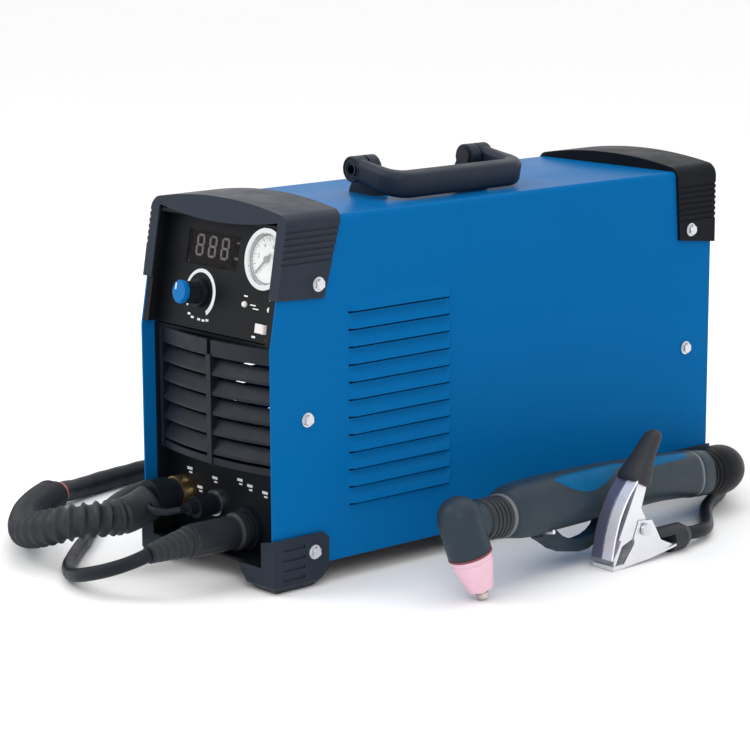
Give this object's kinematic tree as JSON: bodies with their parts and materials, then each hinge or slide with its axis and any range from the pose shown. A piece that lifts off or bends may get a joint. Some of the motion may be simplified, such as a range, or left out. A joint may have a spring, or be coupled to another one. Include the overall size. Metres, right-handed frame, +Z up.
{
  "type": "plasma cutter unit",
  "caption": "Portable sheet-steel plasma cutter with folding top handle, louvred sides, gauge and display front, hand torch, earth clamp and their leads.",
  "frame": {"origin": "centre of the floor area under the machine, torch and clamp together, on the floor", "axes": "+Y runs from the control front to the rear, +Z up, +X to the right seen from the front"},
  "size_m": [0.421, 0.5255, 0.2585],
  "materials": {
    "blue_steel": "satin powder coat",
    "tray_steel": "satin powder coat",
    "slate_plastic": "fine moulded grain",
    "panel_plastic": "fine grain",
    "black_plastic": "fine grain",
    "gloss_black": "gloss",
    "steel": "brushed",
    "zinc_steel": "bright zinc",
    "brass": "satin",
    "chrome": "polished",
    "white_dial": "printed",
    "needle_black": "matt",
    "clear": "clear",
    "smoked": "smoked",
    "blue_plastic": "gloss",
    "digits": "diffused segments on grey",
    "lamp_white": "diffused",
    "white_plastic": "satin",
    "board_green": "solder mask",
    "aluminium": "extruded",
    "winding": "enamelled copper",
    "red_plastic": "gloss",
    "ceramic": "glazed ceramic",
    "tip_metal": "satin plated",
    "torch_plastic": "satin grain",
    "rubber": "matt",
    "lead_sheath": "satin"
  },
  "bodies": {
    "case": {"base_tray": "tray_steel", "case_cover": "blue_steel", "front_panel": "slate_plastic", "display_panel": "panel_plastic", "front_grille": "slate_plastic", "front_hood": "slate_plastic", "rear_hood": "slate_plastic", "corner_feet": "slate_plastic", "rear_panel": "slate_plastic", "fan_guard": "zinc_steel", "fan_frame": "black_plastic", "handle_lugs": "slate_plastic", "handle_pins": "tray_steel", "gauge_case": "chrome", "gauge_dial": "white_dial", "gauge_lens": "clear", "knob_pot": "zinc_steel", "digit_display": "digits", "display_window": "smoked", "indicator_lamps": "lamp_white", "torch_outlet": "brass", "control_socket": "zinc_steel", "control_lead": "black_plastic", "earth_socket": "black_plastic", "control_board": "board_green", "power_board": "board_green", "heat_sinks": "aluminium", "transformer": "winding", "air_valve": "brass", "air_inlet": "brass", "mains_gland": "black_plastic", "switch_frame": "gloss_black", "case_screws": "zinc_steel", "torch_head": "torch_plastic", "torch_handle_left": "torch_plastic", "torch_handle_right": "torch_plastic", "trigger_pin": "steel", "shield_cup": "ceramic", "cutting_tip": "tip_metal", "torch_boot": "rubber", "clamp_lower_arm": "steel", "clamp_lower_grip": "rubber", "clamp_pin": "zinc_steel", "torch_plug": "black_plastic", "torch_plug_boot": "rubber", "torch_lead": "lead_sheath", "torch_lead_coil": "lead_sheath", "earth_plug": "rubber", "earth_lead": "lead_sheath", "earth_lead_coil": "lead_sheath"},
    "carry_handle": {"carry_handle": "slate_plastic"},
    "current_knob": {"current_knob": "black_plastic", "knob_cap": "blue_plastic"},
    "gauge_needle": {"gauge_needle": "needle_black"},
    "fan_rotor": {"fan_rotor": "black_plastic"},
    "mode_rocker": {"mode_rocker": "white_plastic"},
    "power_switch": {"power_switch": "red_plastic"},
    "torch_trigger": {"torch_trigger": "torch_plastic"},
    "clamp_upper": {"clamp_upper_arm": "steel", "clamp_upper_grip": "rubber"}
  },
  "joints": [
    {"name": "handle_lift", "type": "hinge", "parent": "case", "child": "carry_handle", "pos_m": [-0.046, -0.029, 0.25], "axis": [0, -1, 0], "range_deg": [0, 158]},
    {"name": "current_knob_turn", "type": "hinge", "parent": "case", "child": "current_knob", "pos_m": [-0.0709, -0.19452, 0.17806], "axis": [0, 0.9854, -0.1702], "range_deg": [-135, 135]},
    {"name": "gauge_needle_turn", "type": "hinge", "parent": "case", "child": "gauge_needle", "pos_m": [-0.0088, -0.18965, 0.20624], "axis": [0, 0.9854, -0.1702], "range_deg": [0, 270]},
    {"name": "fan_spin", "type": "hinge", "parent": "case", "child": "fan_rotor", "pos_m": [-0.05, 0.1734, 0.156], "axis": [0, 1, 0], "continuous": true},
    {"name": "mode_rocker_tilt", "type": "hinge", "parent": "case", "child": "mode_rocker", "pos_m": [-0.006, -0.19539, 0.1636], "axis": [0, 0.1702, 0.9854], "range_deg": [0, 20]},
    {"name": "power_switch_tilt", "type": "hinge", "parent": "case", "child": "power_switch", "pos_m": [-0.088, 0.184, 0.066], "axis": [-1, 0, 0], "range_deg": [0, 16]},
    {"name": "trigger_squeeze", "type": "hinge", "parent": "case", "child": "torch_trigger", "pos_m": [0.0928, -0.05195, 0.02806], "axis": [0.9722, 0.1575, 0.1732], "range_deg": [0, 6], "stiffness_Nm_per_rad": 0.4, "springref_deg": -8.59},
    {"name": "clamp_open", "type": "hinge", "parent": "case", "child": "clamp_upper", "pos_m": [0.11, 0.017, 0.023], "axis": [-1, 0, 0], "range_deg": [0, 25], "stiffness_Nm_per_rad": 1, "springref_deg": -22.92}
  ]
}
